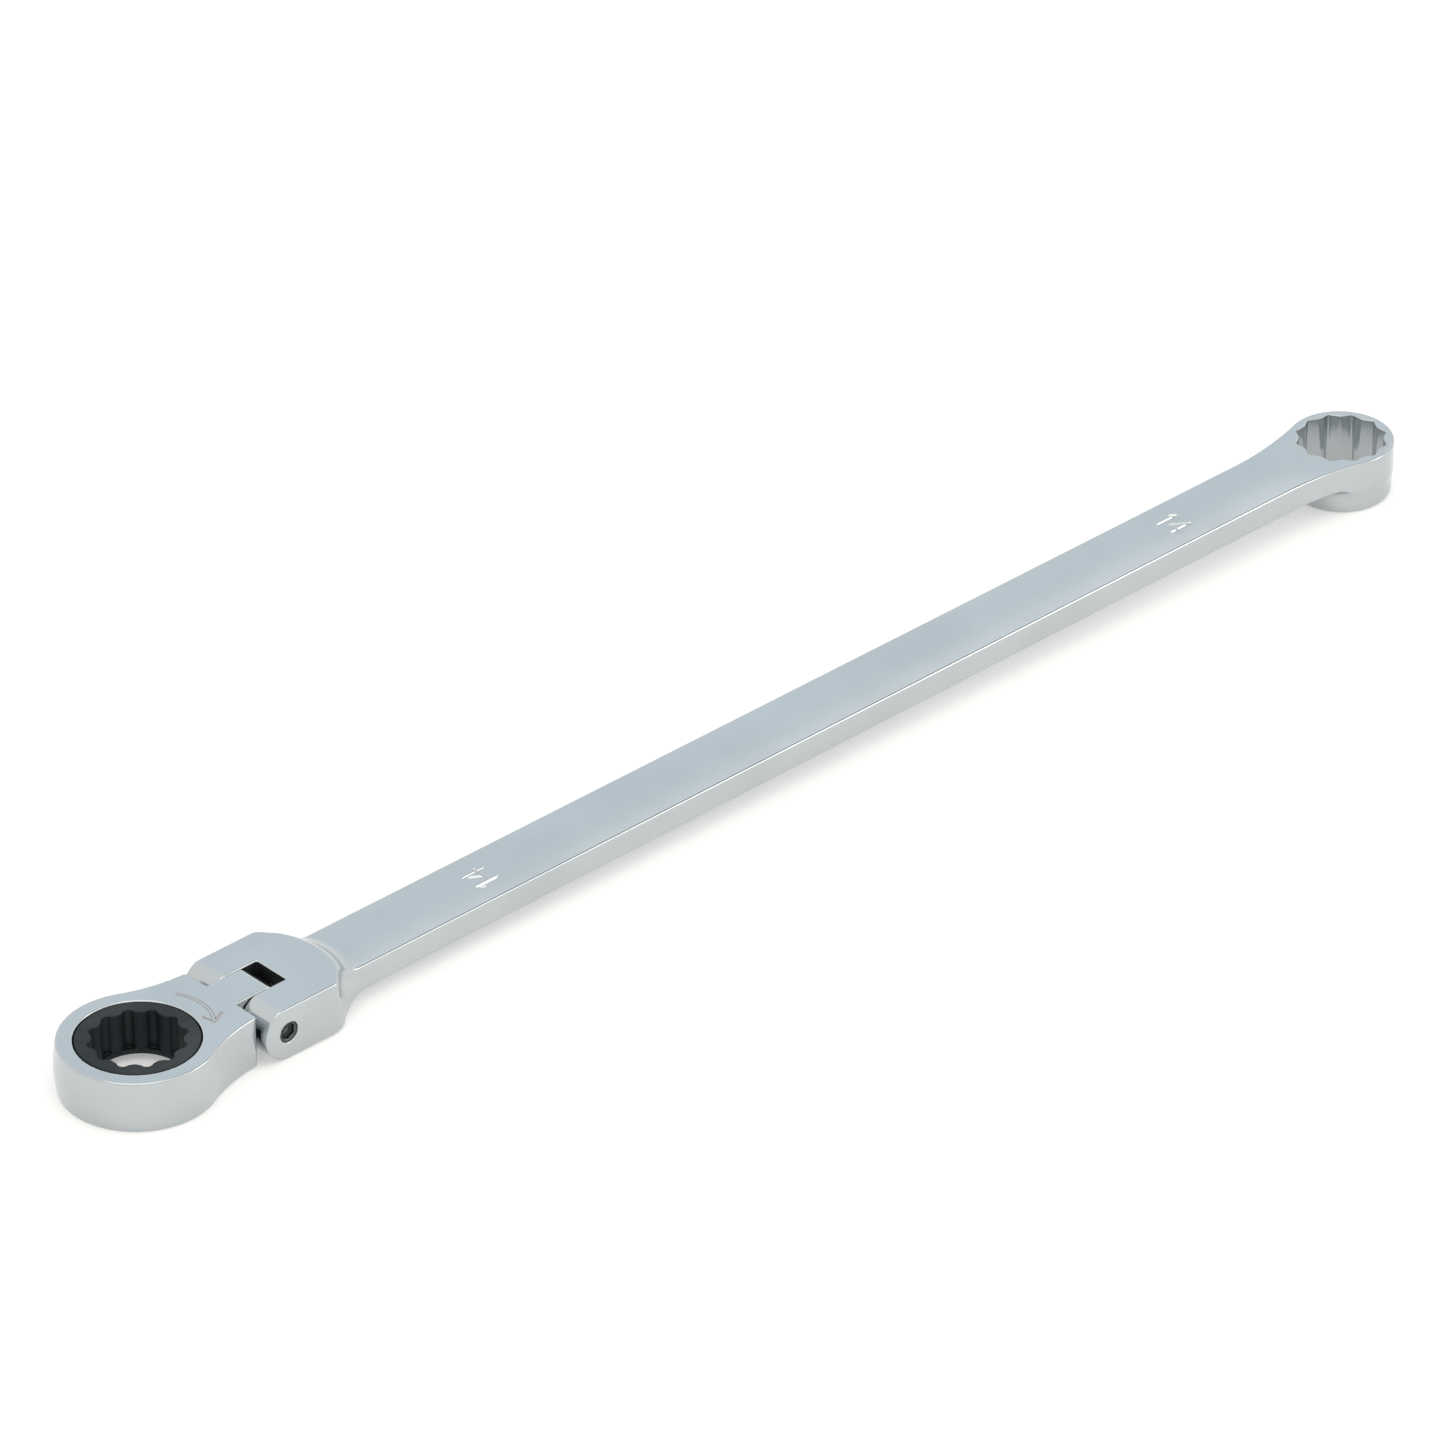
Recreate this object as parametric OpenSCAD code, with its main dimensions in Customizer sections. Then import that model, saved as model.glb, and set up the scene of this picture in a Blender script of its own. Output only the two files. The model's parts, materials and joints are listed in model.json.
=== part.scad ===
// Extra-long flex-head ratcheting ring wrench.
// Frame: origin at the centre of the ratchet opening, half way through the head.
// +X runs along the handle to the fixed ring, +Z is the head's marked face.

/* [Openings] */
// Nominal size across flats of both twelve-point openings
nominal_af = 14; // [12:0.5:14.5]
// Play added across the flats
af_play = 0.12; // [0.05:0.01:0.25]
// Turn of the ratchet opening relative to the ring gear's teeth, degrees
opening_turn = 1.5; // [-15:0.5:15]

/* [Handle] */
// Distance between the centres of the two openings
centre_distance = 276.5; // [180:0.5:330]
// Width of the beam next to the clevis
beam_w_near = 13.1; // [11:0.1:14]
// Width of the beam next to the fixed ring
beam_w_far = 12.8; // [11:0.1:14]
// Height of the beam's upper edges above the pivot axis
beam_top = 2; // [1.6:0.05:2.2]
// Depth of the beam's lower edges below the pivot axis
beam_drop = 2.5; // [2.2:0.05:3]
// Rise of the crowned top and bottom above the beam's edges
crown = 0.35; // [0.2:0.05:0.5]

/* [Fixed ring] */
// Outside diameter of the fixed ring
ring_d = 18.7; // [18.4:0.1:20]
// Height of the fixed ring
ring_h = 10.1; // [8:0.1:12]
// Radius of the long cove that joins the beam to the ring
ring_flare_r = 60; // [30:1:70]

/* [Clevis] */
// Width over the two ears
clevis_w = 20.8; // [19.6:0.1:21]
// Width of the slot between the ears
slot_w = 7.3; // [7.2:0.05:7.6]
// Diameter of the cutter that milled the slot
slot_cutter_d = 40; // [30:1:60]
// Radius of the ears' round fronts about the pivot
ear_r = 4.85; // [4.7:0.05:4.95]
// Radius of the raised pad's round back, in plan
pad_r = 17; // [16:0.5:19]
// Radius of the cove from the pad's face down to the beam
pad_cove_r = 5; // [4:0.5:6]
// Radius of the flare, in plan, from the beam out to the ears' sides
pad_flare_r = 12; // [8:0.5:14]
// Distance of the pivot from the ratchet opening's centre
pivot_x = 22.9; // [22.2:0.1:23]

/* [Ratchet head] */
// Largest diameter of the barrel-sided head
head_d = 27.3; // [26.6:0.1:28]
// Thickness of the head
head_h = 9.2; // [9:0.1:9.6]
// How far the head's side bulges at mid height
barrel = 0.5; // [0.2:0.05:0.8]
// Width of the neck
neck_w = 17.6; // [16:0.1:18]
// Radius of the coves between the head and its neck
neck_cove_r = 30; // [10:1:32]
// Width of the tongue
tongue_w = 7.1; // [6.9:0.05:7.1]
// Radius of the tongue's round end about the pivot
tongue_r = 4.8; // [4.6:0.05:4.8]

/* [Ratchet] */
// Number of teeth on the ring gear
gear_teeth = 72; // [60:12:72]
// Radius of the ring gear over its teeth
gear_tip_r = 11.1; // [11:0.05:11.15]
// Depth of the ring gear's teeth
tooth_depth = 0.5; // [0.4:0.05:0.55]
// Radius of the ring gear's smooth collar
collar_r = 10.36; // [10.2:0.02:10.38]
// Radius of the stop lip in the ring gear
stop_lip_r = 7.25; // [6.5:0.05:7.25]
// How far the pawl can be pushed back
pawl_travel = 0.6; // [0.5:0.05:0.7]

/* [Pivot and springs] */
// Diameter of the pivot screw's shank
screw_d = 3.7; // [3.5:0.05:3.8]
// Diameter of the pivot screw's thread
thread_d = 3; // [2.8:0.05:3.1]
// Size across flats of the pivot screw's hex socket
socket_af = 2.5; // [2:0.25:2.5]
// Diameter of the friction plunger
plunger_d = 3.3; // [3:0.05:3.3]

/* [Hidden] */

$fn = 96;
eps = 0.05;
opening_r = (nominal_af + af_play) / 2 / cos(30);
lead_in = 0.3;
ring_edge_r = 0.3;

head_r = head_d / 2;
head_top = head_h / 2;
shoulder_x = pivot_x - 5.3;

// Gear chamber, from the underside up: mouth, ring groove, chamber, retaining lip
chamber_r = 11.3;
lip_t = 1.3;
lip_hole_r = collar_r + 0.06;
groove_r = 11.85;
groove_z = -3.95;
groove_h = 0.8;
gear_top_z = head_top - lip_t - 0.1;
gear_bottom_z = groove_z + groove_h + 0.05;
gear_root_r = gear_tip_r - tooth_depth;
gear_face_drop = 0.05;
foot_drop = 0.4;
foot_r = 10.2;
stop_lip_t = 0.8;
tooth_pitch = 360 / gear_teeth;

// Pawl and its pocket in the neck
pawl_w = 7;
pawl_h = 5.2;
pawl_back_x = 13.6;
pawl_corner_r = 1.9;
pawl_gap = 0.06;
pocket_back_x = pawl_back_x + pawl_travel + 0.2;
mesh_gap = 0.06;
pawl_spring_d = 2;
pawl_spring_wire = 0.35;
pawl_seat_x = 12.3;
neck_seat_x = 18.4;
seat_d = pawl_spring_d + 0.3;

// Clevis, plunger and their spring
pad_x = pivot_x - 2.35;
pad_flare_x = pivot_x + 19.9;
slot_back_x = pivot_x + 5.8;
plunger_tip_x = pivot_x + tongue_r + 0.03;
plunger_len = 3.2;
plunger_bore_end_x = 35.9;
friction_spring_d = 2.9;
friction_spring_wire = 0.5;
thread_start_y = 4.2;
screw_recess = 0.2;
socket_depth = 1;

ring_r = ring_d / 2;
ring_top = beam_top + 0.15;

module mirror_y() {
  children();
  mirror([0, 1, 0]) children();
}

// Round bar or hole along Y between two Y values, on the pivot axis
module pivot_bar(d, y0, y1) {
  translate([pivot_x, y1, 0]) rotate([90, 0, 0]) cylinder(d = d, h = y1 - y0);
}

// Round bar or hole along X between two X values, on the centre line
module x_bar(d, x0, x1) {
  translate([x0, 0, 0]) rotate([0, 90, 0]) cylinder(d = d, h = x1 - x0);
}

module twelve_point(r) {
  circle(r = r, $fn = 6);
  rotate(30) circle(r = r, $fn = 6);
}

// Widening cone at the mouth of a twelve-point opening
module lead_in_cone(z, up) {
  translate([0, 0, z]) mirror([0, 0, up ? 0 : 1]) translate([0, 0, -lead_in])
    cylinder(r1 = opening_r - 0.4, r2 = opening_r + lead_in + 0.1, h = lead_in + eps);
}

// Area between a straight edge at half_w and a disc of disc_r, left by a cove of cove_r
module cove_2d(disc_r, half_w, cove_r) {
  cx = sqrt(pow(disc_r + cove_r, 2) - pow(half_w + cove_r, 2));
  cy = half_w + cove_r;
  difference() {
    polygon([[0, 0], [cx, cy], [cx, 0]]);
    translate([cx, cy]) circle(r = cove_r, $fn = 180);
  }
}

// Coil along +Z from 0 to len, its end turns closed
function coil_z(t, turns, len, wire) =
  let (end_pitch = wire * 1.15, rise = len - wire - 2 * end_pitch)
  wire / 2 + (t < 1 ? t * end_pitch
    : t > turns - 1 ? len - wire - (turns - t) * end_pitch
    : end_pitch + (t - 1) / (turns - 2) * rise);

module coil_spring(len, d, wire, turns) {
  sides = 8;
  steps = 16 * turns;
  r = (d - wire) / 2;
  points = [
    for (i = [0 : steps])
      let (a = i * 22.5, z = coil_z(i / 16, turns, len, wire))
      for (k = [0 : sides - 1])
        let (b = k * 360 / sides, rr = r + wire / 2 * cos(b))
        [rr * cos(a), rr * sin(a), z + wire / 2 * sin(b)]
  ];
  skin = [
    for (i = [0 : steps - 1])
      for (k = [0 : sides - 1])
        let (n = (k + 1) % sides)
        [i * sides + k, (i + 1) * sides + k, (i + 1) * sides + n, i * sides + n]
  ];
  first_cap = [[for (k = [0 : sides - 1]) k]];
  last_cap = [[for (k = [sides - 1 : -1 : 0]) steps * sides + k]];
  polyhedron(points = points, faces = concat(skin, first_cap, last_cap));
}

// Saw-toothed outline: each tooth rises along a ramp and drops along its locking face
module gear_2d(grow = 0) {
  polygon([
    for (i = [0 : gear_teeth - 1])
      for (corner = [[0, gear_root_r], [0.84, gear_tip_r], [0.92, gear_tip_r]])
        let (a = (i + corner[0]) * tooth_pitch, r = corner[1] + grow)
        [r * cos(a), r * sin(a)]
  ]);
}

// ---- Handle: clevis, beam and fixed ring, one forging ----

module beam_section() {
  crown_r = (pow(beam_w_near / 2, 2) + pow(crown, 2)) / (2 * crown);
  intersection() {
    translate([0, beam_top + crown - crown_r]) circle(r = crown_r, $fn = 360);
    translate([0, -beam_drop - crown + crown_r]) circle(r = crown_r, $fn = 360);
    square([30, 30], center = true);
  }
}

module beam() {
  x0 = pad_x + pad_r - 5;
  x1 = centre_distance - ring_r + 1;
  intersection() {
    translate([x0, 0, 0]) rotate([90, 0, 90]) linear_extrude(x1 - x0) beam_section();
    translate([0, 0, -10]) linear_extrude(20) polygon([
      [x0, -beam_w_near / 2], [x1, -beam_w_far / 2], [x1, beam_w_far / 2], [x0, beam_w_near / 2]
    ]);
  }
}

module clevis_side_2d() {
  intersection() {
    union() {
      circle(r = ear_r);
      translate([0, -ear_r]) square([pad_r, 2 * ear_r]);
    }
    translate([-10, -10]) square([40, 10 + head_top]);
  }
}

// Cove all round the back of the pad, from the pad's face down to the beam's
module pad_cove(z_pad, z_beam) {
  drop = abs(z_pad - z_beam);
  reach = sqrt(2 * pad_cove_r * drop - drop * drop);
  flip = z_pad < z_beam ? 1 : 0;
  intersection() {
    translate([pad_x, 0, z_beam]) mirror([0, 0, flip]) rotate_extrude($fn = 180) difference() {
      translate([pad_r - 1, -1]) square([reach + 1, drop + 1]);
      translate([pad_r + reach, pad_cove_r]) circle(r = pad_cove_r);
    }
    translate([pad_x + pad_r - 4, -beam_w_near / 2, -10]) cube([14, beam_w_near, 20]);
  }
}

// Outline of the beam where it widens to the ears' sides
module pad_flare_2d() {
  x0 = pad_x + pad_r - 5;
  difference() {
    translate([x0, -clevis_w / 2]) square([pad_flare_x - x0, clevis_w]);
    mirror_y() translate([pad_flare_x, beam_w_near / 2 + pad_flare_r]) circle(r = pad_flare_r, $fn = 180);
  }
}

module clevis_block() {
  intersection() {
    translate([pivot_x, clevis_w / 2, 0]) rotate([90, 0, 0]) linear_extrude(clevis_w) clevis_side_2d();
    translate([pad_x, 0, -10]) cylinder(r = pad_r, h = 20, $fn = 180);
  }
  pad_cove(head_top, beam_top);
  pad_cove(-ear_r, -beam_drop);
  translate([0, 0, -beam_drop]) linear_extrude(beam_top + beam_drop) pad_flare_2d();
}

module slot() {
  cutter_r = slot_cutter_d / 2;
  translate([slot_back_x - cutter_r, slot_w / 2, 0]) rotate([90, 0, 0])
    cylinder(r = cutter_r, h = slot_w, $fn = 180);
}

module fixed_ring() {
  translate([centre_distance, 0, 0]) {
    rotate_extrude($fn = 180) {
      translate([0, ring_top - ring_h]) square([ring_r - ring_edge_r, ring_h]);
      translate([0, ring_top - ring_h + ring_edge_r]) square([ring_r, ring_h - 2 * ring_edge_r]);
      translate([ring_r - ring_edge_r, ring_top - ring_edge_r]) circle(r = ring_edge_r, $fn = 32);
      translate([ring_r - ring_edge_r, ring_top - ring_h + ring_edge_r]) circle(r = ring_edge_r, $fn = 32);
    }
    mirror([1, 0, 0]) translate([0, 0, -beam_drop]) linear_extrude(beam_top + beam_drop)
      mirror_y() cove_2d(ring_r, beam_w_far / 2, ring_flare_r);
  }
}

module handle() {
  color("gainsboro") difference() {
    union() {
      clevis_block();
      beam();
      fixed_ring();
    }
    slot();
    pivot_bar(screw_d + 0.04, -clevis_w, thread_start_y + 0.1);
    pivot_bar(thread_d - 0.04, 0, clevis_w);
    x_bar(plunger_d + 0.1, pivot_x + tongue_r, plunger_bore_end_x);
    translate([centre_distance, 0, 0]) {
      translate([0, 0, -20]) linear_extrude(40) twelve_point(opening_r);
      lead_in_cone(ring_top, true);
      lead_in_cone(ring_top - ring_h, false);
    }
  }
}

// ---- Ratchet head ----

module head_ring() {
  barrel_r = (pow(head_top, 2) + pow(barrel, 2)) / (2 * barrel);
  rotate_extrude($fn = 180) intersection() {
    translate([0, -head_top]) square([head_r, head_h]);
    translate([head_r - barrel_r, 0]) circle(r = barrel_r, $fn = 360);
  }
}

module neck() {
  translate([0, 0, -head_top]) linear_extrude(head_h) {
    translate([0, -neck_w / 2]) square([shoulder_x, neck_w]);
    mirror_y() cove_2d(head_r - barrel, neck_w / 2, neck_cove_r);
  }
}

module tongue() {
  intersection() {
    union() {
      pivot_bar(2 * tongue_r, -tongue_w / 2, tongue_w / 2);
      translate([shoulder_x - 1, -tongue_w / 2, -tongue_r])
        cube([pivot_x - shoulder_x + 1, tongue_w, 2 * tongue_r]);
    }
    translate([0, -10, -head_top]) cube([40, 20, head_h]);
  }
}

// Straight-sided outline along X with two round corners at its back
module pawl_outline(half_w, x0, x1, corner_r) {
  difference() {
    translate([x0, -half_w]) square([x1 - x0, 2 * half_w]);
    mirror_y() translate([x1 - corner_r, half_w - corner_r]) difference() {
      square([corner_r + 1, corner_r + 1]);
      circle(r = corner_r);
    }
  }
}

module ratchet_head() {
  color("gainsboro") difference() {
    union() {
      intersection() {
        union() {
          head_ring();
          neck();
        }
        translate([-head_r - 1, -head_r - 1, -head_h]) cube([head_r + 1 + shoulder_x, head_d + 2, 2 * head_h]);
      }
      tongue();
    }
    translate([0, 0, -head_h]) cylinder(r = chamber_r, h = head_h + head_top - lip_t, $fn = 180);
    translate([0, 0, -head_h]) cylinder(r = lip_hole_r, h = 2 * head_h, $fn = 180);
    translate([0, 0, groove_z]) cylinder(r = groove_r, h = groove_h, $fn = 180);
    translate([0, 0, -pawl_h / 2 - 0.1]) linear_extrude(pawl_h + 0.2)
      pawl_outline(pawl_w / 2 + pawl_gap, 8, pocket_back_x, pawl_corner_r);
    x_bar(seat_d, pocket_back_x - 1, neck_seat_x);
    pivot_bar(screw_d + 0.1, -10, 10);
  }
}

module drive_gear() {
  color("dimgray") difference() {
    union() {
      translate([0, 0, gear_bottom_z]) linear_extrude(gear_top_z - gear_bottom_z) gear_2d();
      translate([0, 0, gear_top_z - 1])
        cylinder(r = collar_r, h = head_top - gear_face_drop - gear_top_z + 1, $fn = 180);
      translate([0, 0, gear_bottom_z - foot_drop])
        cylinder(r = foot_r, h = foot_drop + 1, $fn = 180);
    }
    translate([0, 0, gear_bottom_z - foot_drop + stop_lip_t]) linear_extrude(head_h)
      rotate(opening_turn) twelve_point(opening_r);
    translate([0, 0, -head_h]) cylinder(r = stop_lip_r, h = head_h);
  }
}

module pawl() {
  color("darkgray") difference() {
    translate([0, 0, -pawl_h / 2]) linear_extrude(pawl_h) difference() {
      pawl_outline(pawl_w / 2, 9.9, pawl_back_x, pawl_corner_r);
      gear_2d(mesh_gap);
      rotate(0.3) gear_2d(mesh_gap);
    }
    x_bar(seat_d, pawl_seat_x, pawl_back_x + 1);
  }
}

module pawl_spring() {
  color("silver") translate([pawl_seat_x + eps, 0, 0]) rotate([0, 90, 0])
    coil_spring(neck_seat_x - pawl_seat_x - 2 * eps, pawl_spring_d, pawl_spring_wire, 8);
}

module retaining_ring() {
  ring_t = groove_h - 0.1;
  inner_r = foot_r + 0.25;
  outer_r = groove_r - 0.1;
  gap_angle = 32;
  color("slategray") translate([0, 0, groove_z + 0.05]) difference() {
    cylinder(r = outer_r, h = ring_t, $fn = 180);
    translate([0, 0, -1]) cylinder(r = inner_r, h = ring_t + 2, $fn = 180);
    translate([0, 0, -1]) linear_extrude(ring_t + 2) polygon([
      [0, 0],
      for (side = [-1, 1]) 20 * [cos(180 + side * gap_angle / 2), sin(180 + side * gap_angle / 2)]
    ]);
  }
}

module pivot_screw() {
  head_y = -clevis_w / 2 + screw_recess;
  color("dimgray") difference() {
    union() {
      pivot_bar(screw_d, head_y, thread_start_y);
      pivot_bar(thread_d, 0, clevis_w / 2 - screw_recess);
    }
    translate([pivot_x, head_y - eps, 0]) rotate([-90, 0, 0])
      cylinder(r = socket_af / 2 / cos(30), h = socket_depth + eps, $fn = 6);
  }
}

module friction_plunger() {
  color("darkgray") x_bar(plunger_d, plunger_tip_x, plunger_tip_x + plunger_len);
}

module friction_spring() {
  x0 = plunger_tip_x + plunger_len;
  color("silver") translate([x0, 0, 0]) rotate([0, 90, 0])
    coil_spring(plunger_bore_end_x - x0, friction_spring_d, friction_spring_wire, 6);
}

handle();
ratchet_head();
drive_gear();
pawl();
pawl_spring();
retaining_ring();
pivot_screw();
friction_plunger();
friction_spring();
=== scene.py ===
"""Looks of the flex-head ratcheting ring wrench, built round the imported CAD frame.

The forged and machined pieces are rebuilt as fine meshes: each is a signed distance field in
millimetres, with real edge radii and coves, turned into quads that are pulled onto the field's
zero surface. The small inner pieces keep their CAD meshes, with edges bevelled by modifiers.
"""
import json
import math

import bpy
import numpy as np
from mathutils import Matrix, Vector


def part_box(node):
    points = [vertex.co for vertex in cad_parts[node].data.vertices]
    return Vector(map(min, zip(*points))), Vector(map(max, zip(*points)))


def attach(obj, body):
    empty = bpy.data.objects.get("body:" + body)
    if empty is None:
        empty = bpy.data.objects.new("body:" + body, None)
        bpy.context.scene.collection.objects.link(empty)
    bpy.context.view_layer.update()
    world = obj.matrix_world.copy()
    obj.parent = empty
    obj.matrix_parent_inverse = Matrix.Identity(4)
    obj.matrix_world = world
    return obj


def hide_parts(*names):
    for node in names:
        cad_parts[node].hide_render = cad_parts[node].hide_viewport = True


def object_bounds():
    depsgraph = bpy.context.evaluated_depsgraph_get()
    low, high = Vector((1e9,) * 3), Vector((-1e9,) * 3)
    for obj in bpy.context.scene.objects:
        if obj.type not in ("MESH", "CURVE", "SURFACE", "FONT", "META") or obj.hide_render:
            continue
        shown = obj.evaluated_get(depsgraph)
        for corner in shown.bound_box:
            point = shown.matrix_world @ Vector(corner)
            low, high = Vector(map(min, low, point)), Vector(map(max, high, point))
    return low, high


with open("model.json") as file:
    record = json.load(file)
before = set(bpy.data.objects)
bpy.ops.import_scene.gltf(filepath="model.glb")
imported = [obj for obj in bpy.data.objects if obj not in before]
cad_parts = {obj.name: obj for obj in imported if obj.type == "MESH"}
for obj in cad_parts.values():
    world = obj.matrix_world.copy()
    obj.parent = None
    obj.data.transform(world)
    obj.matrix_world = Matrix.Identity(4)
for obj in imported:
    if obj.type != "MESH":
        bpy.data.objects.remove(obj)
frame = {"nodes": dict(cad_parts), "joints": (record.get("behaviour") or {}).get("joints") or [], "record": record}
cad_low, cad_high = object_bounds()

MM = 0.001

# ---- Places and sizes read from the frame, in millimetres ----

joints = {j["name"]: j for j in frame["joints"]}
mounts = {m["name"]: m for m in frame["record"]["mounts"]}


def mm_box(node):
    """Lowest and highest corner of a CAD node, in millimetres."""
    low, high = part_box(node)
    return np.array(low) / MM, np.array(high) / MM


handle_low, handle_high = mm_box("handle")
head_low, head_high = mm_box("ratchet_head")
gear_low, gear_high = mm_box("drive_gear")
screw_low, screw_high = mm_box("pivot_screw")

PIVOT_X = joints["head_flex"]["pos_m"][0] / MM
RING_X = mounts["fixed_opening"]["pos_m"][0] / MM
HEAD_TOP = head_high[2]
TONGUE_R = head_high[0] - PIVOT_X
EAR_HALF_W = handle_high[1]
RING_R = handle_high[0] - RING_X
RING_FOOT_Z = handle_low[2]
RING_H = 10.1
RING_POST_STEP = 0.14
RING_POST_DRAFT = 0.03
RING_TOP_Z = RING_FOOT_Z + RING_H

# Sizes that the boxes don't give
ACROSS_FLATS = 14.12
# Lobes at the points of each opening: (distance from its centre, radius)
GEAR_LOBES = (7.2, 1.08)
RING_LOBES = (7.75, 0.38)
EAR_R = 4.85
PAD_R = 17.0
PAD_X = PIVOT_X - 2.35
PAD_COVE_R = 5.0
PAD_CREST_R = 0.8
PAD_CORNER_R = 1.2
# Radius of the flare behind the pad: (at the beam's top, at its foot)
PAD_FLARE_R = (6.0, 17.0)
LEAD_IN = 0.3
RING_COVE_R = 2.5
SLOT_HALF_W = 3.65
SLOT_CUTTER_R = 20.0
SLOT_BACK_X = PIVOT_X + 5.8
PLUNGER_BORE_R = 1.7
PLUNGER_BORE_END = 13.0
BEAM_HALF_W_NEAR = 6.55
BEAM_HALF_W_FAR = 6.4
BEAM_TOP_Z = 2.0
BEAM_FOOT_Z = -2.5
EDGE_R = 0.35
CROWN = 0.35
FLARE_R = 60.0

HEAD_R = 13.65
HEAD_BARREL = 0.5
NECK_HALF_W = 8.8
NECK_COVE_R = 30.0
SHOULDER_X = PIVOT_X - 5.3
TONGUE_HALF_W = 3.55
LIP_HOLE_R = 10.42
LIP_T = 1.3
CHAMBER_R = 11.3
# Retaining ring's groove: (radius, lowest z, highest z)
GROOVE = (11.85, -3.95, -3.15)
POCKET_X = (8.0, 14.4)
POCKET_HALF_W = 3.56
POCKET_HALF_H = 2.7
POCKET_CORNER_R = 1.5
SPRING_BORE_R = 1.15
SPRING_BORE_X = (13.0, 18.4)

COLLAR_R = 10.18
GEAR_TIP_R = 11.1
TOOTH_DEPTH = 0.5
TEETH = 72
TEETH_Z = (-3.1, 3.2)
TOOTH_RISE = 0.84
TOOTH_FALL = 0.08
FOOT_R = 10.2
STOP_LIP_R = 7.25
STOP_LIP_T = 0.8
OPENING_TURN = 1.5

SCREW_R = (screw_high[0] - screw_low[0]) / 2
THREAD_R = 1.5
THREAD_START_Y = 4.2
SOCKET_AF = 2.5
SOCKET_DEPTH = 1.0
SOCKET_CHAMFER = 0.35

# ---- Distance-field helpers: negative inside, all lengths in millimetres ----


def both(a, b, r):
    """Intersection of two fields, its edge rounded to radius r."""
    corner = np.hypot(np.maximum(a + r, 0), np.maximum(b + r, 0)) - r
    return np.minimum(np.maximum(a, b), -r) + np.maximum(corner + r, 0)


def either(a, b, r):
    """Union of two fields, with a cove of radius r where they meet."""
    return -both(-a, -b, r)


def minus(a, b, r):
    """Field a with b cut out of it, the cut's edge rounded to radius r."""
    return both(a, -b, r)


def slab(v, low, high):
    """Space between two parallel planes."""
    return np.maximum(low - v, v - high)


def stadium(x, z, r):
    """Long bar along +X with a half-round end of radius r about the origin."""
    return np.hypot(np.minimum(x, 0), z) - r


def smooth_step(v, low, high):
    t = np.clip((v - low) / (high - low), 0, 1)
    return t * t * (3 - 2 * t)


def twelve_point(x, y, turn, lobes, crest_r):
    """Space inside a twelve-point opening, with round lobes (distance, radius) at its points."""
    apothem = ACROSS_FLATS / 2
    rho = np.hypot(x, y)
    step = math.radians(30)
    angle = np.arctan2(y, x) - math.radians(turn)
    off = angle - step * np.round(angle / step)

    def point(a):
        return both(rho * np.cos(a - step) - apothem, rho * np.cos(a + step) - apothem, 0.2)

    lobe = np.hypot(rho - lobes[0], rho * off) - lobes[1]
    return either(np.minimum(point(off), lobe * 0.9), point(np.abs(off) - step), crest_r)


def ring_on_bar(x, y, ring_r, half_w, cove_r, cove_x):
    """Plan outline of a ring at the origin on a bar along +X, joined by two coves."""
    cove_y = half_w + cove_r
    cove = cove_r - np.hypot(np.minimum(x - cove_x, 0), np.abs(y) - cove_y)
    return np.where(x * cove_y > np.abs(y) * cove_x, cove, np.hypot(x, y) - ring_r)


def cove_end(ring_r, half_w, cove_r):
    """Distance from the ring's centre at which its coves run out into the bar."""
    return math.sqrt((ring_r - half_w) * (ring_r + half_w + 2 * cove_r))


def stroke(x, y, x0, y0, x1, y1, half_w):
    """Round-ended stroke from one point to another, in plan."""
    dx, dy = x1 - x0, y1 - y0
    t = np.clip(((x - x0) * dx + (y - y0) * dy) / (dx * dx + dy * dy), 0, 1)
    return np.hypot(x - x0 - t * dx, y - y0 - t * dy) - half_w


# ---- Mesh from a field ----

# Rounds in which the points are pulled onto the surface, and the furthest pull of each
PULL_ROUNDS = 6
PULL_REACH = 0.2
CORNERS = [(i, j, k) for i in (0, 1) for j in (0, 1) for k in (0, 1)]
CELL_EDGES = [(a, b) for a in range(8) for b in range(a + 1, 8)
              if sum(abs(p - q) for p, q in zip(CORNERS[a], CORNERS[b])) == 1]


def steps(*stretches):
    """Grid lines through stretches (start, end, spacing) that follow each other."""
    lines = []
    for start, end, spacing in stretches:
        count = max(1, round((end - start) / spacing))
        lines.append(np.linspace(start, end, count + 1)[:-1])
    lines.append([stretches[-1][1]])
    return np.concatenate(lines)


def gradient(field, p, h=0.004):
    """Central differences of the field at points p."""
    g = np.empty_like(p)
    for axis in range(3):
        step = np.zeros(3)
        step[axis] = h
        g[:, axis] = (field(*(p + step).T) - field(*(p - step).T)) / (2 * h)
    return g


def net_points(values, xs, ys, zs, cells):
    """One point per cell that the surface crosses: the mean of its edge crossings."""
    lines = (xs, ys, zs)
    corner_value = []
    corner_place = []
    for corner in CORNERS:
        index = [cells[a] + corner[a] for a in range(3)]
        corner_value.append(values[tuple(index)])
        corner_place.append(np.stack([lines[a][index[a]] for a in range(3)], axis=1))
    total = np.zeros((len(cells[0]), 3))
    count = np.zeros(len(cells[0]))
    for a, b in CELL_EDGES:
        fa, fb = corner_value[a], corner_value[b]
        crossed = (fa < 0) != (fb < 0)
        t = np.where(crossed, fa / np.where(crossed, fa - fb, 1), 0)[:, None]
        place = corner_place[a] + t * (corner_place[b] - corner_place[a])
        total += np.where(crossed[:, None], place, 0)
        count += crossed
    return total / count[:, None]


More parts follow.
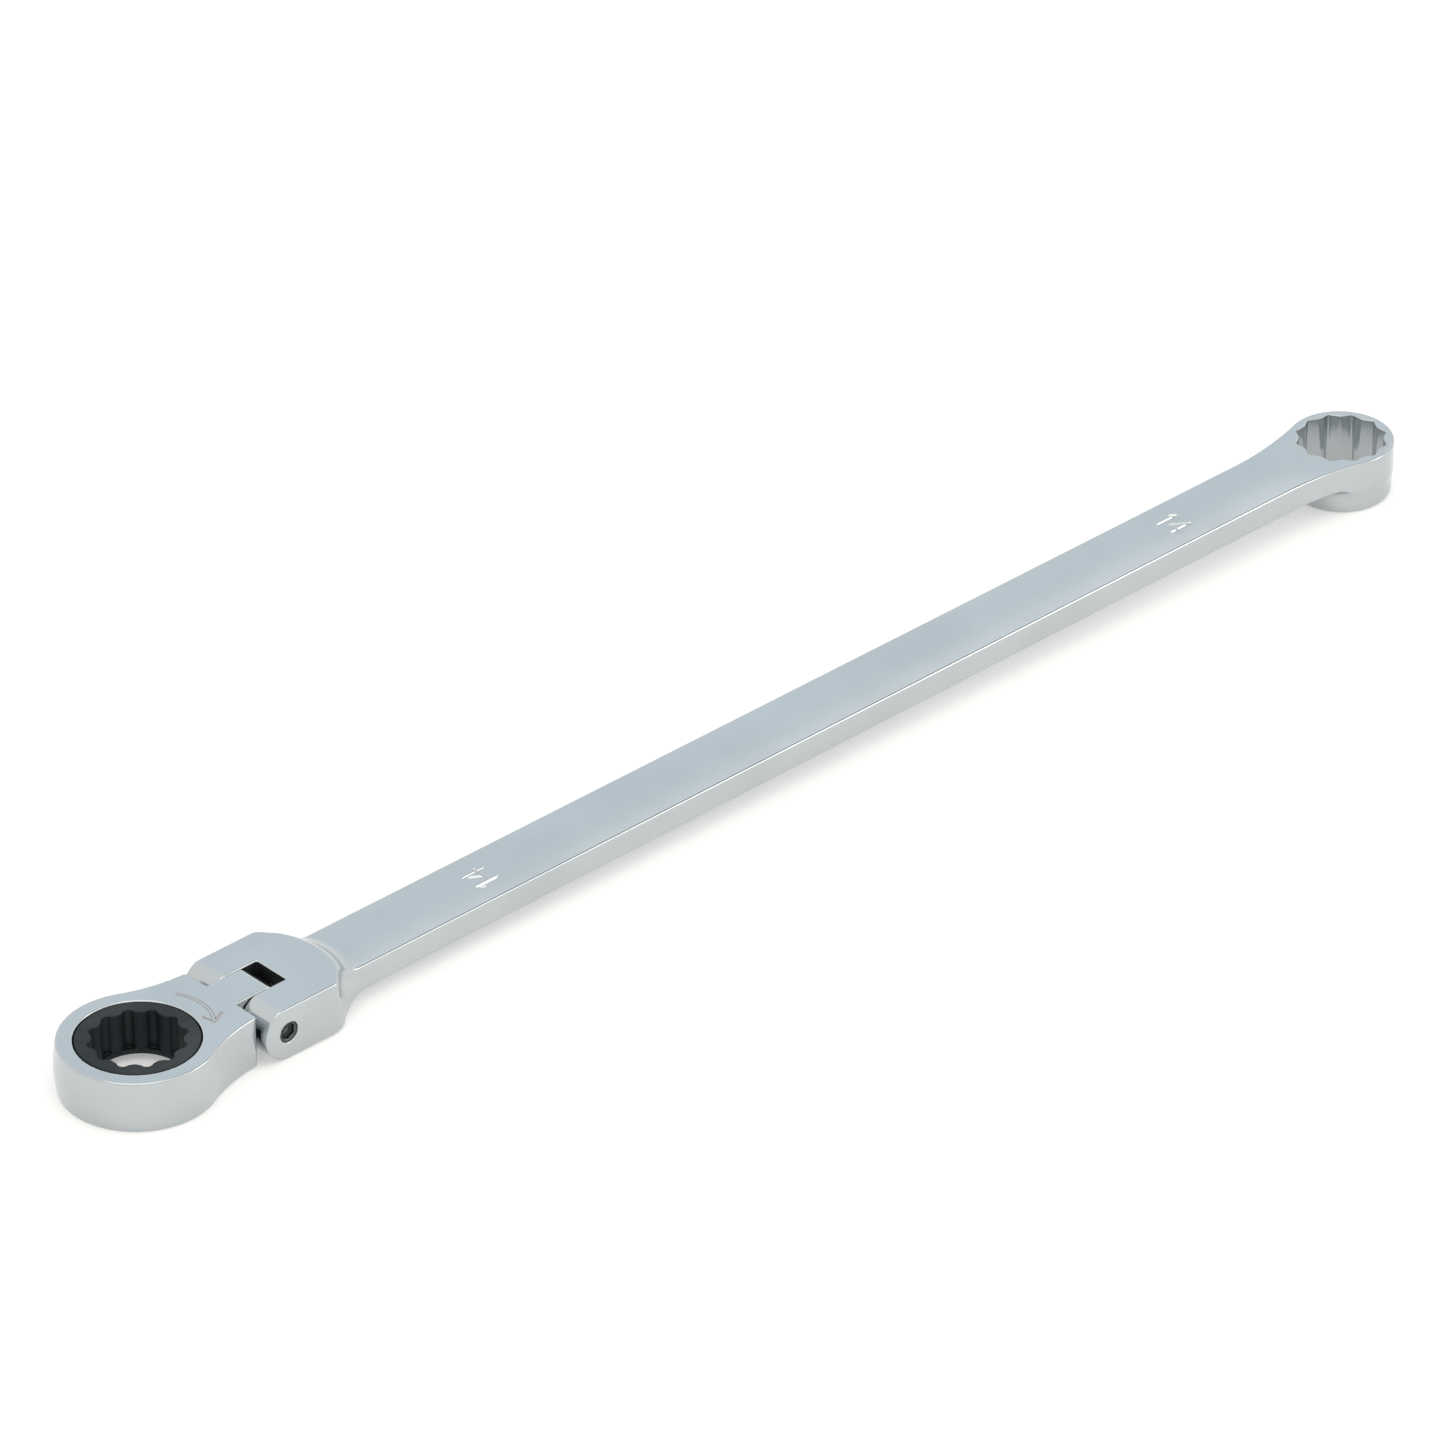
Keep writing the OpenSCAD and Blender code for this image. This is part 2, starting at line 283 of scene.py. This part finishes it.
def net_quads(inside, number):
    """Quads round every grid edge that the surface crosses, facing outwards."""
    quads = []
    for axis in range(3):
        u, v = [a for a in range(3) if a != axis]
        cut = [slice(1, -1)] * 3
        cut[axis] = slice(0, -1)
        here = inside[tuple(cut)]
        cut[axis] = slice(1, None)
        there = inside[tuple(cut)]
        for first_inside in (True, False):
            edges = np.nonzero(here & ~there if first_inside else ~here & there)
            place = [e + (0 if a == axis else 1) for a, e in enumerate(edges)]
            ring = []
            for du, dv in ((-1, -1), (0, -1), (0, 0), (-1, 0)):
                cell = list(place)
                cell[u] = place[u] + du
                cell[v] = place[v] + dv
                ring.append(number[tuple(cell)])
            if first_inside == (axis == 1):
                ring.reverse()
            quads.append(np.stack(ring, axis=1))
    return np.concatenate(quads)


def mesh_from_field(name, field, xs, ys, zs):
    """Object whose surface is the field's zero surface, in metres."""
    values = np.concatenate([
        field(*np.meshgrid(part, ys, zs, indexing="ij")) for part in np.array_split(xs, 24)
    ])
    inside = values < 0
    corners = [inside[i:inside.shape[0] - 1 + i, j:inside.shape[1] - 1 + j, k:inside.shape[2] - 1 + k]
               for i, j, k in CORNERS]
    crossed = np.logical_or.reduce(corners) & ~np.logical_and.reduce(corners)
    cells = np.nonzero(crossed)
    number = np.full(crossed.shape, -1)
    number[cells] = np.arange(len(cells[0]))
    points = net_points(values, xs, ys, zs, cells)
    for _ in range(PULL_ROUNDS):
        g = gradient(field, points)
        move = (field(*points.T) / np.maximum((g * g).sum(axis=1), 0.05))[:, None] * g
        length = np.linalg.norm(move, axis=1, keepdims=True)
        points -= move * np.minimum(1, PULL_REACH / np.maximum(length, 1e-9))
    mesh = bpy.data.meshes.new(name)
    mesh.from_pydata((points * MM).tolist(), [], net_quads(inside, number).tolist())
    mesh.validate()
    mesh.shade_smooth()
    piece = bpy.data.objects.new(name, mesh)
    bpy.context.scene.collection.objects.link(piece)
    return piece


# ---- Handle ----

FLARE_LENGTH = cove_end(RING_R, BEAM_HALF_W_FAR, FLARE_R)
FLARE_START_X = RING_X - FLARE_LENGTH
PAD_SIDE_END_X = PAD_X + math.sqrt(PAD_R ** 2 - EAR_HALF_W ** 2)
MARK_HEIGHT = 4.4
MARK_DEPTH = 0.32
MARK_HALF_W = 0.36
MARK_NEAR = (PIVOT_X + 50.0, -0.7)
MARK_FAR = (RING_X - 42.1, -0.2)
# Strokes of the size number, in a cell one unit high with its foot at 0: (u0, v0, u1, v1)
ONE_AND_FOUR = [
    (-0.34, 0.0, -0.34, 1.0), (-0.34, 1.0, -0.54, 0.78),
    (0.44, 0.0, 0.44, 1.0), (0.44, 1.0, -0.02, 0.3), (-0.02, 0.3, 0.62, 0.3),
]


def beam_side(x, y, z):
    """Handle's side: flare behind the pad, longer at its foot, tapered beam, cove to the ring."""
    taper = np.clip((FLARE_START_X - x) / (FLARE_START_X - PAD_X - PAD_R), 0, 1)
    half_w = BEAM_HALF_W_FAR + (BEAM_HALF_W_NEAR - BEAM_HALF_W_FAR) * taper
    far = ring_on_bar(RING_X - x, y, RING_R, half_w, FLARE_R, FLARE_LENGTH)
    at_foot = smooth_step(BEAM_TOP_Z - z, 0, BEAM_TOP_Z - BEAM_FOOT_Z)
    flare_r = PAD_FLARE_R[0] + (PAD_FLARE_R[1] - PAD_FLARE_R[0]) * at_foot
    flare_w = EAR_HALF_W - BEAM_HALF_W_NEAR
    flare_x = PAD_SIDE_END_X + np.sqrt(flare_w * (2 * flare_r - flare_w))
    near = flare_r - np.hypot(flare_x - x, np.abs(y) - BEAM_HALF_W_NEAR - flare_r)
    return np.where(x < flare_x, near, far)


def size_number(x, y, centre, up):
    """Stamped strokes of the size number; its top points along X in the direction up."""
    v = (x - centre[0]) * up / MARK_HEIGHT + 0.5
    u = (centre[1] - y) * up / MARK_HEIGHT
    field = np.full(np.shape(x), 9.0)
    for u0, v0, u1, v1 in ONE_AND_FOUR:
        field = np.minimum(field, stroke(u, v, u0, v0, u1, v1, 0) * MARK_HEIGHT)
    return field - MARK_HALF_W


def handle_field(x, y, z):
    px = x - PIVOT_X
    side = beam_side(x, y, z)
    at_ring = smooth_step(x, FLARE_START_X, RING_X - RING_R)
    bulge = CROWN * (1 - at_ring) * np.clip(1 - (y / BEAM_HALF_W_NEAR) ** 2, -0.5, 1)
    marks = np.minimum(size_number(x, y, MARK_NEAR, -1), size_number(x, y, MARK_FAR, 1))
    groove = MARK_DEPTH * np.clip(-marks / MARK_HALF_W, 0, 1)
    top = z - (BEAM_TOP_Z + (RING_TOP_Z - BEAM_TOP_Z) * at_ring + bulge - groove)
    foot = (BEAM_FOOT_Z - bulge) - z
    slab_z = both(top, foot, 0.4)

    pad = np.hypot(x - PAD_X, y) - PAD_R
    clevis = both(either(pad, slab_z, PAD_COVE_R), z - HEAD_TOP, PAD_CREST_R)
    clevis = both(clevis, both(side, np.abs(y) - EAR_HALF_W, PAD_CORNER_R), EDGE_R)
    clevis = both(clevis, stadium(px, z, EAR_R), 0.2)

    ring_xy = np.hypot(x - RING_X, y)
    drop = np.clip(BEAM_FOOT_Z - z, 0, 9)
    post = both(ring_xy - (RING_R - RING_POST_STEP - RING_POST_DRAFT * drop), RING_FOOT_Z - z, 0.7)
    ring_end = either(slab_z, np.maximum(post, z - BEAM_FOOT_Z - 0.8), RING_COVE_R)
    ring_end = both(ring_end, side, EDGE_R)
    body = np.where(x > (PIVOT_X + RING_X) / 2, ring_end, clevis)

    cutter = np.hypot(x - (SLOT_BACK_X - SLOT_CUTTER_R), z) - SLOT_CUTTER_R
    body = minus(body, slot_field(x, y, cutter), 0.16)
    bore = np.where(y < THREAD_START_Y + 0.1, SCREW_R + 0.02, THREAD_R - 0.02)
    body = minus(body, np.hypot(px, z) - bore, 0.1)
    plunger_bore = np.maximum(np.hypot(y, z) - PLUNGER_BORE_R, slab(px, TONGUE_R, PLUNGER_BORE_END))
    body = minus(body, plunger_bore, 0.1)

    flutes = twelve_point(x - RING_X, y, 0, RING_LOBES, 0.1)
    body = minus(body, flutes, 0.15)
    for depth in (RING_TOP_Z - z, z - RING_FOOT_Z):
        body = minus(body, (ring_xy - ACROSS_FLATS / 2 - LEAD_IN + depth) / 1.41, 0.12)
    return body


def slot_field(x, y, cutter):
    """Slot between the ears, open at the front and ending on the cutter's arc."""
    return both(np.abs(y) - SLOT_HALF_W, cutter, 0.25)


def in_slot(centres):
    """Which faces of the handle lie inside the slot; these get the dark material as painted shade."""
    x, y, z = centres.T
    return (x < SLOT_BACK_X + 0.1) & (np.abs(y) < SLOT_HALF_W + 0.05) & (z < HEAD_TOP - 0.2)


# ---- Ratchet head ----

NECK_COVE_X = cove_end(HEAD_R - HEAD_BARREL, NECK_HALF_W, NECK_COVE_R)


def head_field(x, y, z):
    px = x - PIVOT_X
    rho = np.hypot(x, y)
    faces = np.abs(z) - HEAD_TOP
    outline = ring_on_bar(x, y, HEAD_R - HEAD_BARREL, NECK_HALF_W, NECK_COVE_R, NECK_COVE_X)
    outline -= HEAD_BARREL * (1 - (z / HEAD_TOP) ** 2) * (1 - smooth_step(x, 1, 15))
    outline = both(outline, x - SHOULDER_X, 0.7)
    tongue = np.maximum(np.abs(y) - TONGUE_HALF_W, SHOULDER_X - 5 - x)
    outline = either(outline, tongue, 0.4)
    edge_r = 0.22 - 0.07 * smooth_step(x, SHOULDER_X - 0.5, SHOULDER_X + 0.5)
    head = both(outline, faces, edge_r)
    head = both(head, stadium(-px, z, TONGUE_R), 0.05)

    head = minus(head, rho - LIP_HOLE_R, 0.12)
    head = minus(head, np.maximum(rho - CHAMBER_R, z - (HEAD_TOP - LIP_T)), 0.12)
    groove_r, groove_low, groove_high = GROOVE
    head = np.maximum(head, -np.maximum(rho - groove_r, slab(z, groove_low, groove_high)))
    pocket = both(np.abs(y) - POCKET_HALF_W, slab(x, *POCKET_X), POCKET_CORNER_R)
    pocket = both(pocket, np.abs(z) - POCKET_HALF_H, 0.1)
    head = np.maximum(head, -pocket)
    head = np.maximum(head, -np.maximum(np.hypot(y, z) - SPRING_BORE_R, slab(x, *SPRING_BORE_X)))
    return minus(head, np.hypot(px, z) - SCREW_R - 0.05, 0.12)


# ---- Ring gear and pivot screw ----


def gear_field(x, y, z):
    rho = np.hypot(x, y)
    turn = np.arctan2(y, x) * TEETH / (2 * math.pi)
    phase = turn - np.floor(turn)
    ramp = np.clip(np.minimum(phase / TOOTH_RISE, (1 - phase) / TOOTH_FALL), 0, 1)
    toothed = (rho - (GEAR_TIP_R - TOOTH_DEPTH * (1 - ramp))) * 0.8
    toothed = np.maximum(toothed, slab(z, *TEETH_Z))
    collar = both(rho - COLLAR_R, slab(z, TEETH_Z[1] - 1, gear_high[2]), 0.18)
    foot = both(rho - FOOT_R, slab(z, gear_low[2], TEETH_Z[0] + 1), 0.2)
    body = np.minimum(np.minimum(toothed, collar), foot)
    flutes = twelve_point(x, y, OPENING_TURN, GEAR_LOBES, 0.15)
    flutes = np.maximum(flutes, gear_low[2] + STOP_LIP_T - z)
    body = minus(body, flutes, 0.12)
    return minus(body, rho - STOP_LIP_R, 0.15)


def screw_field(x, y, z):
    rho = np.hypot(x - PIVOT_X, z)
    shank = both(rho - SCREW_R, slab(y, screw_low[1], THREAD_START_Y), 0.25)
    thread = both(rho - THREAD_R, slab(y, 0, screw_high[1]), 0.3)
    body = np.minimum(shank, thread)
    angle = np.arctan2(z, x - PIVOT_X)
    step = math.radians(60)
    off = angle - step * np.round(angle / step)
    socket = np.maximum(rho * np.cos(off) - SOCKET_AF / 2, y - screw_low[1] - SOCKET_DEPTH)
    body = minus(body, socket, 0.06)
    rim = (rho - SOCKET_AF / 2 - SOCKET_CHAMFER + (y - screw_low[1])) / 1.42
    return minus(body, rim, 0.05)


# ---- Materials ----


def new_material(name):
    material = bpy.data.materials.new(name)
    material.use_nodes = True
    nodes = material.node_tree.nodes
    return material, nodes, material.node_tree.links, nodes["Principled BSDF"]


def noise(nodes, links, scale, detail, stretch=(1, 1, 1)):
    """Noise in object space, its size set in features per metre."""
    place = nodes.new("ShaderNodeTexCoord")
    mapping = nodes.new("ShaderNodeMapping")
    mapping.inputs["Scale"].default_value = stretch
    texture = nodes.new("ShaderNodeTexNoise")
    texture.inputs["Scale"].default_value = scale
    texture.inputs["Detail"].default_value = detail
    links.new(place.outputs["Object"], mapping.inputs["Vector"])
    links.new(mapping.outputs["Vector"], texture.inputs["Vector"])
    return texture.outputs["Fac"]


def spread(nodes, links, value, low, high):
    """Maps a noise value to a range."""
    node = nodes.new("ShaderNodeMapRange")
    node.inputs["From Min"].default_value = 0.3
    node.inputs["From Max"].default_value = 0.7
    node.inputs["To Min"].default_value = low
    node.inputs["To Max"].default_value = high
    links.new(value, node.inputs["Value"])
    return node.outputs["Result"]


def tint(nodes, links, value, dark, light):
    node = nodes.new("ShaderNodeValToRGB")
    node.color_ramp.elements[0].position = 0.35
    node.color_ramp.elements[0].color = (*dark, 1)
    node.color_ramp.elements[1].position = 0.65
    node.color_ramp.elements[1].color = (*light, 1)
    links.new(value, node.inputs["Fac"])
    return node.outputs["Color"]


def bump(nodes, links, height, distance, strength, under=None):
    node = nodes.new("ShaderNodeBump")
    node.inputs["Distance"].default_value = distance
    node.inputs["Strength"].default_value = strength
    links.new(height, node.inputs["Height"])
    if under is not None:
        links.new(under, node.inputs["Normal"])
    return node.outputs["Normal"]


def metal(name, dark, light, rough_low, rough_high, grain, lines, pits):
    """Metal with cloudy colour, streaky polish lines along X and fine pits."""
    material, nodes, links, shader = new_material(name)
    shader.inputs["Metallic"].default_value = 1.0
    clouds = noise(nodes, links, 60, 3)
    streaks = noise(nodes, links, grain, 5, stretch=(0.04, 1, 1))
    links.new(tint(nodes, links, clouds, dark, light), shader.inputs["Base Color"])
    links.new(spread(nodes, links, streaks, rough_low, rough_high), shader.inputs["Roughness"])
    polish = bump(nodes, links, streaks, 0.00002, lines)
    fine = noise(nodes, links, grain * 1.7, 4)
    links.new(bump(nodes, links, fine, 0.00002, pits, under=polish), shader.inputs["Normal"])
    return material


chrome = metal("chrome_plate", (0.475, 0.505, 0.52), (0.505, 0.535, 0.55), 0.12, 0.20, 2500, 0.10, 0.05)
# Dark phosphate: the gear's and retaining ring's own finish, also laid on the handle's slot faces as painted shade
phosphate_and_slot_shade = metal("dark_phosphate_and_slot_shade", (0.035, 0.042, 0.047), (0.06, 0.068, 0.074), 0.52, 0.68, 5200, 0.1, 0.4)
black_oxide = metal("black_oxide", (0.07, 0.08, 0.085), (0.10, 0.11, 0.115), 0.30, 0.45, 4000, 0.1, 0.3)
ground_steel = metal("ground_steel", (0.30, 0.30, 0.31), (0.42, 0.42, 0.43), 0.25, 0.42, 3000, 0.4, 0.1)
spring_wire = metal("spring_wire", (0.42, 0.42, 0.43), (0.52, 0.52, 0.53), 0.2, 0.35, 4000, 0.2, 0.1)


def etched():
    """Brown laser-etched line, slightly rough."""
    material, nodes, links, shader = new_material("etched_line")
    shader.inputs["Metallic"].default_value = 0.5
    grain = noise(nodes, links, 9000, 3)
    colour = tint(nodes, links, grain, (0.17, 0.12, 0.08), (0.36, 0.29, 0.22))
    links.new(colour, shader.inputs["Base Color"])
    links.new(spread(nodes, links, grain, 0.45, 0.65), shader.inputs["Roughness"])
    return material


# ---- Pieces ----


def finish_piece(piece, body, node, material):
    piece.data.materials.append(material)
    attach(piece, body)
    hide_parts(node)


def margin_steps(low, high, spacing):
    return steps((low - 2 * spacing, high + 2 * spacing, spacing))


def make_handle():
    pad_end = PAD_X + PAD_R + PAD_COVE_R + 5
    coarse, fine, mark = 1.6, 0.25, 0.13
    reach = MARK_HEIGHT / 2 + 0.6
    xs = steps(
        (handle_low[0] - 0.6, pad_end, fine),
        (pad_end, MARK_NEAR[0] - reach, coarse),
        (MARK_NEAR[0] - reach, MARK_NEAR[0] + reach, mark),
        (MARK_NEAR[0] + reach, MARK_FAR[0] - reach, coarse),
        (MARK_FAR[0] - reach, MARK_FAR[0] + reach, mark),
        (MARK_FAR[0] + reach, FLARE_START_X - 1, coarse),
        (FLARE_START_X - 1, RING_X - RING_R - 1, 0.5),
        (RING_X - RING_R - 1, handle_high[0] + 0.6, fine),
    )
    side = EAR_HALF_W + 0.5
    ys = steps((-side, -3.4, fine), (-3.4, 3.4, 0.15), (3.4, side, fine))
    zs = steps((handle_low[2] - 0.6, 1.7, fine), (1.7, 2.5, 0.1), (2.5, HEAD_TOP + 0.6, fine))
    handle = mesh_from_field("handle_forging", handle_field, xs, ys, zs)
    finish_piece(handle, "handle", "handle", chrome)
    # The slot's faces get the dark phosphate material as painted shade: the slot is chrome inside and dark only
    # from shade
    handle.data.materials.append(phosphate_and_slot_shade)
    centres = np.empty(3 * len(handle.data.polygons))
    handle.data.polygons.foreach_get("center", centres)
    dark = in_slot(centres.reshape(-1, 3) / MM)
    handle.data.polygons.foreach_set("material_index", dark.astype(np.int32))


def make_head():
    grid = [margin_steps(head_low[a], head_high[a], 0.22) for a in range(3)]
    finish_piece(mesh_from_field("ratchet_head_forging", head_field, *grid),
                 "head", "ratchet_head", chrome)


def make_gear():
    grid = [margin_steps(gear_low[a], gear_high[a], 0.17) for a in range(3)]
    finish_piece(mesh_from_field("drive_gear_machined", gear_field, *grid),
                 "gear", "drive_gear", phosphate_and_slot_shade)


def make_screw():
    grid = [margin_steps(screw_low[a], screw_high[a], 0.1) for a in range(3)]
    finish_piece(mesh_from_field("pivot_screw_machined", screw_field, *grid),
                 "handle", "pivot_screw", black_oxide)


# Direction arrow etched on the head's marked face
ARROW_CENTRE = (4.75, 0.6)
ARROW_RADII = (8.75, 9.3)
ARROW_FROM, ARROW_TO = math.radians(31), math.radians(-34)
ARROW_TIP = (11.85, -5.25)
ARROW_LINE = 0.13
ARROW_PROUD = 0.012


def flat_line(points, width):
    """Corners of a flat strip along points, in plan."""
    p = np.array(points)
    along = np.gradient(p, axis=0)
    across = np.stack([-along[:, 1], along[:, 0]], axis=1)
    across /= np.linalg.norm(across, axis=1, keepdims=True)
    return p + across * width / 2, p - across * width / 2


def make_arrow():
    lines = []
    for r in ARROW_RADII:
        angles = np.linspace(ARROW_FROM, ARROW_TO, 40)
        lines.append([(ARROW_CENTRE[0] + r * math.cos(a), ARROW_CENTRE[1] + r * math.sin(a))
                      for a in angles])
    for end, gap in (((14.5, -4.0), 0.5), ((11.25, -2.9), 0.45)):
        tip = np.array(ARROW_TIP)
        barb = np.array(end)
        back = np.array((0.25, 1.0)) * gap
        lines.append([tip + (barb - tip) * t for t in np.linspace(0, 1, 8)])
        lines.append([tip + back + (barb - tip) * t for t in np.linspace(0.12, 0.92, 8)])
        lines.append([barb, barb + back * 0.8 - (barb - tip) * 0.06])
    z0, z1 = HEAD_TOP - 0.03, HEAD_TOP + ARROW_PROUD
    verts, faces = [], []
    for line in lines:
        left, right = flat_line(line, ARROW_LINE)
        for (lx, ly), (rx, ry) in zip(left, right):
            verts += [(lx, ly, z0), (lx, ly, z1), (rx, ry, z1), (rx, ry, z0)]
        first = len(verts) - 4 * len(line)
        for i in range(len(line) - 1):
            a = first + 4 * i
            for k in range(4):
                n = (k + 1) % 4
                faces.append((a + k, a + 4 + k, a + 4 + n, a + n))
        faces.append((first, first + 1, first + 2, first + 3))
        last = len(verts) - 4
        faces.append((last + 3, last + 2, last + 1, last))
    mesh = bpy.data.meshes.new("direction_arrow")
    mesh.from_pydata([tuple(c * MM for c in v) for v in verts], [], faces)
    mesh.validate()
    arrow = bpy.data.objects.new("direction_arrow", mesh)
    bpy.context.scene.collection.objects.link(arrow)
    arrow.data.materials.append(etched())
    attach(arrow, "head")


def keep_cad(node, material, bevel):
    """A CAD node that keeps its mesh gets its material and softened edges."""
    piece = frame["nodes"][node]
    piece.data.materials.clear()
    piece.data.materials.append(material)
    if bevel:
        soften = piece.modifiers.new("edges", "BEVEL")
        soften.width = bevel * MM
        soften.segments = 2
        soften.limit_method = "ANGLE"
        soften.angle_limit = math.radians(40)
        soften.harden_normals = True


make_handle()
make_head()
make_gear()
make_screw()
make_arrow()
keep_cad("pawl", ground_steel, 0)
keep_cad("pawl_spring", spring_wire, 0)
keep_cad("friction_spring", spring_wire, 0)
keep_cad("retaining_ring", phosphate_and_slot_shade, 0.08)
keep_cad("friction_plunger", ground_steel, 0.2)

# ---- Floor, light and camera ----

# Directions in the sky: where the flat top faces see, a softbox over their near edges,
# a white strip that their edges and stamped strokes catch, and a dark flag between the two
SKY_AHEAD = (0.575, 0.617, 0.537)
SOFTBOX = (0.68, 0.30, 0.67)
WHITE_STRIP = (0.60, -0.38, 0.70)
DARK_FLAG = (0.583, 0.06, 0.81)


FLOOR_HALF_SIZE = 6.0
RING_FOOT_ROUNDING = 0.7


def make_floor():
    """Pale lit table under the wrench as it lies: on the ring's foot and the head's far rim."""
    rise_from = Vector((head_low[0] + HEAD_BARREL, 0, head_low[2])) * MM
    rise_to = Vector((RING_X - RING_R + RING_FOOT_ROUNDING, 0, RING_FOOT_Z)) * MM
    slope = math.atan2(rise_from.z - rise_to.z, rise_to.x - rise_from.x)
    s = FLOOR_HALF_SIZE
    mesh = bpy.data.meshes.new("floor")
    mesh.from_pydata([(-s, -s, 0), (s, -s, 0), (s, s, 0), (-s, s, 0)], [], [(0, 1, 2, 3)])
    floor = bpy.data.objects.new("floor", mesh)
    bpy.context.scene.collection.objects.link(floor)
    floor.location = rise_to
    floor.rotation_euler = (0, slope, 0)
    material, nodes, links, shader = new_material("pale_floor")
    shader.inputs["Roughness"].default_value = 0.85
    shader.inputs["Specular IOR Level"].default_value = 0.15
    speckle = noise(nodes, links, 40, 2)
    colour = tint(nodes, links, speckle, (0.66, 0.66, 0.66), (0.67, 0.67, 0.67))
    links.new(colour, shader.inputs["Base Color"])
    shader.inputs["Emission Color"].default_value = (1.0, 1.0, 1.0, 1.0)
    shader.inputs["Emission Strength"].default_value = 0.35
    floor.data.materials.append(material)


def make_light(name, place, size, power, colour=(1, 1, 1)):
    data = bpy.data.lights.new(name, "AREA")
    data.shape = "RECTANGLE"
    data.size, data.size_y = size
    data.energy = power
    data.color = colour
    lamp = bpy.data.objects.new(name, data)
    bpy.context.scene.collection.objects.link(lamp)
    lamp.location = place
    aim = Vector(((cad_low[0] + cad_high[0]) / 2, 0, 0)) - Vector(place)
    lamp.rotation_mode = "QUATERNION"
    lamp.rotation_quaternion = aim.to_track_quat("-Z", "Y")


def make_world():
    """White studio: bluish ahead of the handle, cream behind the head, with its flag and boxes."""
    world = bpy.data.worlds.new("studio")
    bpy.context.scene.world = world
    world.use_nodes = True
    nodes, links = world.node_tree.nodes, world.node_tree.links
    place = nodes.new("ShaderNodeTexCoord")

    def toward(direction):
        """Cosine of the angle from a direction of the sky."""
        dot = nodes.new("ShaderNodeVectorMath")
        dot.operation = "DOT_PRODUCT"
        dot.inputs[1].default_value = direction
        links.new(place.outputs["Generated"], dot.inputs[0])
        return dot.outputs["Value"]

    def ramp(value, stops):
        node = nodes.new("ShaderNodeValToRGB")
        node.color_ramp.elements.remove(node.color_ramp.elements[1])
        node.color_ramp.elements[0].position = stops[0][0]
        node.color_ramp.elements[0].color = (*stops[0][1], 1)
        for at, colour in stops[1:]:
            node.color_ramp.elements.new(at).color = (*colour, 1)
        links.new(value, node.inputs["Fac"])
        return node.outputs["Color"]

    def blend(kind, fade, under, over):
        node = nodes.new("ShaderNodeMix")
        node.data_type = "RGBA"
        node.blend_type = kind
        for socket, value in (("Factor", fade), ("A", under), ("B", over)):
            if isinstance(value, bpy.types.NodeSocket):
                links.new(value, node.inputs[socket])
            else:
                node.inputs[socket].default_value = value
        return node.outputs["Result"]

    def box(direction, edge, core, colour, under):
        """Lays a softbox over the sky, full inside its core and nothing past its edge."""
        fade = nodes.new("ShaderNodeMapRange")
        fade.interpolation_type = "SMOOTHSTEP"
        fade.inputs["From Min"].default_value = edge
        fade.inputs["From Max"].default_value = core
        links.new(toward(direction), fade.inputs["Value"])
        return blend("MIX", fade.outputs["Result"], under, (*colour, 1))

    sky = ramp(toward(SKY_AHEAD), ((0.0, (1.0, 0.98, 0.92)), (0.6, (1.0, 1.0, 0.98)),
                                   (0.95, (0.98, 1.0, 1.0)), (0.985, (0.87, 0.945, 1.0))))
    sky = box(SOFTBOX, 0.945, 0.99, (1.10, 1.14, 1.15), sky)
    sky = box(WHITE_STRIP, 0.90, 0.95, (1.7, 1.7, 1.66), sky)
    flag = ramp(toward(DARK_FLAG), ((0.95, (1, 1, 1)), (0.975, (0.25, 0.26, 0.28))))
    links.new(blend("MULTIPLY", 1.0, sky, flag), nodes["Background"].inputs["Color"])
    nodes["Background"].inputs["Strength"].default_value = 1.08


CAMERA_AZIMUTH = math.radians(-43.006)
CAMERA_ELEVATION = math.radians(32.487)
CAMERA_ROLL = math.radians(-0.271)
CAMERA_PLACE = (-0.81362, -1.00923, 0.88684)
CAMERA_LENS = 244.84


def make_camera():
    data = bpy.data.cameras.new("camera")
    data.lens = CAMERA_LENS
    data.sensor_width = 36.0
    data.clip_start, data.clip_end = 0.05, 50.0
    camera = bpy.data.objects.new("camera", data)
    bpy.context.scene.collection.objects.link(camera)
    a, e, r = CAMERA_AZIMUTH, CAMERA_ELEVATION, CAMERA_ROLL
    back = Vector((math.sin(a) * math.cos(e), -math.cos(a) * math.cos(e), math.sin(e)))
    right = Vector((math.cos(a), math.sin(a), 0))
    up = back.cross(right)
    right, up = right * math.cos(r) + up * math.sin(r), up * math.cos(r) - right * math.sin(r)
    turn = Matrix((right, up, back)).transposed()
    camera.matrix_world = Matrix.Translation(CAMERA_PLACE) @ turn.to_4x4()
    bpy.context.scene.camera = camera


make_floor()
make_world()
make_light("overhead", (-0.1, -0.15, 1.6), (1.3, 1.1), 4, (1.0, 0.95, 0.90))
make_light("rim", (1.1, -0.75, 0.85), (0.5, 0.35), 1.5, (1.0, 0.97, 0.92))
make_camera()
bpy.context.scene.view_settings.view_transform = "Standard"
